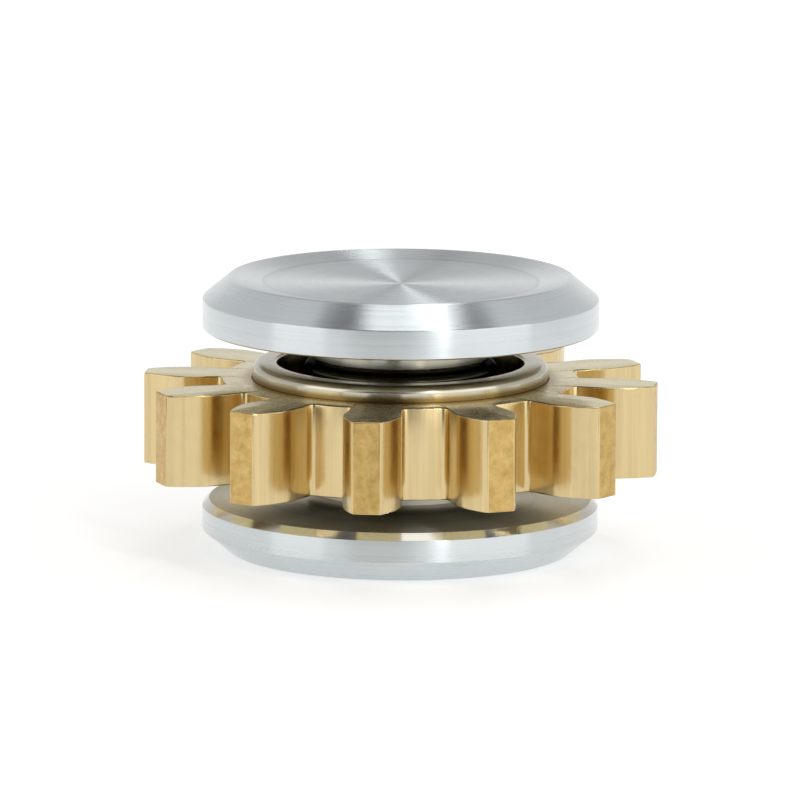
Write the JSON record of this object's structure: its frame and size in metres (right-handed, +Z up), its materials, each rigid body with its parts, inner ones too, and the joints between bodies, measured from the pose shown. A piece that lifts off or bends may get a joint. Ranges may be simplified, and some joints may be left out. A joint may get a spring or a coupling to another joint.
{
  "type": "gear fidget spinner",
  "caption": "Toothed brass ring on a ball bearing that spins freely between two round dished metal finger caps.",
  "frame": {"origin": "centre of the lower cap's base, in the plane that the spinner stands on", "axes": "+Z up along the spin axis, from the lower cap to the upper cap; +Y away from the viewer, +X to the viewer's right"},
  "size_m": [0.022, 0.022, 0.0119],
  "materials": {
    "gear_brass": "machined, with fine tool lines on the flanks and lightly tarnished tooth lands",
    "race_steel": "ground and polished bearing steel",
    "ball_steel": "mirror polished",
    "cage_steel": "satin",
    "cap_aluminium": "fine turned, with concentric tool marks",
    "stud_steel": "black oxide"
  },
  "bodies": {
    "caps": {"upper_cap": "cap_aluminium", "lower_cap": "cap_aluminium", "bearing_inner_race": "race_steel", "clamp_stud": "stud_steel"},
    "spinner": {"gear": "gear_brass", "bearing_outer_race": "race_steel"},
    "cage": {"bearing_cage": "cage_steel"},
    "ball_01": {"ball_01": "ball_steel"},
    "ball_02": {"ball_02": "ball_steel"},
    "ball_03": {"ball_03": "ball_steel"},
    "ball_04": {"ball_04": "ball_steel"},
    "ball_05": {"ball_05": "ball_steel"},
    "ball_06": {"ball_06": "ball_steel"},
    "ball_07": {"ball_07": "ball_steel"},
    "ball_08": {"ball_08": "ball_steel"},
    "ball_09": {"ball_09": "ball_steel"},
    "ball_10": {"ball_10": "ball_steel"}
  },
  "joints": [
    {"name": "gear_spin", "type": "hinge", "parent": "caps", "child": "spinner", "pos_m": [0, 0, 0.00548], "axis": [0, 0, 1], "continuous": true},
    {"name": "cage_spin", "type": "hinge", "parent": "caps", "child": "cage", "pos_m": [0, 0, 0.00578], "axis": [0, 0, 1], "continuous": true},
    {"name": "ball_01_spin", "type": "hinge", "parent": "cage", "child": "ball_01", "pos_m": [0.00476, 0, 0.00578], "axis": [0, 0, 1], "continuous": true},
    {"name": "ball_02_spin", "type": "hinge", "parent": "cage", "child": "ball_02", "pos_m": [0.00385, 0.0028, 0.00578], "axis": [0, 0, 1], "continuous": true},
    {"name": "ball_03_spin", "type": "hinge", "parent": "cage", "child": "ball_03", "pos_m": [0.00147, 0.00453, 0.00578], "axis": [0, 0, 1], "continuous": true},
    {"name": "ball_04_spin", "type": "hinge", "parent": "cage", "child": "ball_04", "pos_m": [-0.00147, 0.00453, 0.00578], "axis": [0, 0, 1], "continuous": true},
    {"name": "ball_05_spin", "type": "hinge", "parent": "cage", "child": "ball_05", "pos_m": [-0.00385, 0.0028, 0.00578], "axis": [0, 0, 1], "continuous": true},
    {"name": "ball_06_spin", "type": "hinge", "parent": "cage", "child": "ball_06", "pos_m": [-0.00476, 0, 0.00578], "axis": [0, 0, 1], "continuous": true},
    {"name": "ball_07_spin", "type": "hinge", "parent": "cage", "child": "ball_07", "pos_m": [-0.00385, -0.0028, 0.00578], "axis": [0, 0, 1], "continuous": true},
    {"name": "ball_08_spin", "type": "hinge", "parent": "cage", "child": "ball_08", "pos_m": [-0.00147, -0.00453, 0.00578], "axis": [0, 0, 1], "continuous": true},
    {"name": "ball_09_spin", "type": "hinge", "parent": "cage", "child": "ball_09", "pos_m": [0.00147, -0.00453, 0.00578], "axis": [0, 0, 1], "continuous": true},
    {"name": "ball_10_spin", "type": "hinge", "parent": "cage", "child": "ball_10", "pos_m": [0.00385, -0.0028, 0.00578], "axis": [0, 0, 1], "continuous": true}
  ],
  "couplings": [
    {"joint": "cage_spin", "follows": "gear_spin", "ratio": 0.58336},
    {"joint": "ball_01_spin", "follows": "gear_spin", "ratio": 2.9157},
    {"joint": "ball_02_spin", "follows": "gear_spin", "ratio": 2.9157},
    {"joint": "ball_03_spin", "follows": "gear_spin", "ratio": 2.9157},
    {"joint": "ball_04_spin", "follows": "gear_spin", "ratio": 2.9157},
    {"joint": "ball_05_spin", "follows": "gear_spin", "ratio": 2.9157},
    {"joint": "ball_06_spin", "follows": "gear_spin", "ratio": 2.9157},
    {"joint": "ball_07_spin", "follows": "gear_spin", "ratio": 2.9157},
    {"joint": "ball_08_spin", "follows": "gear_spin", "ratio": 2.9157},
    {"joint": "ball_09_spin", "follows": "gear_spin", "ratio": 2.9157},
    {"joint": "ball_10_spin", "follows": "gear_spin", "ratio": 2.9157}
  ]
}
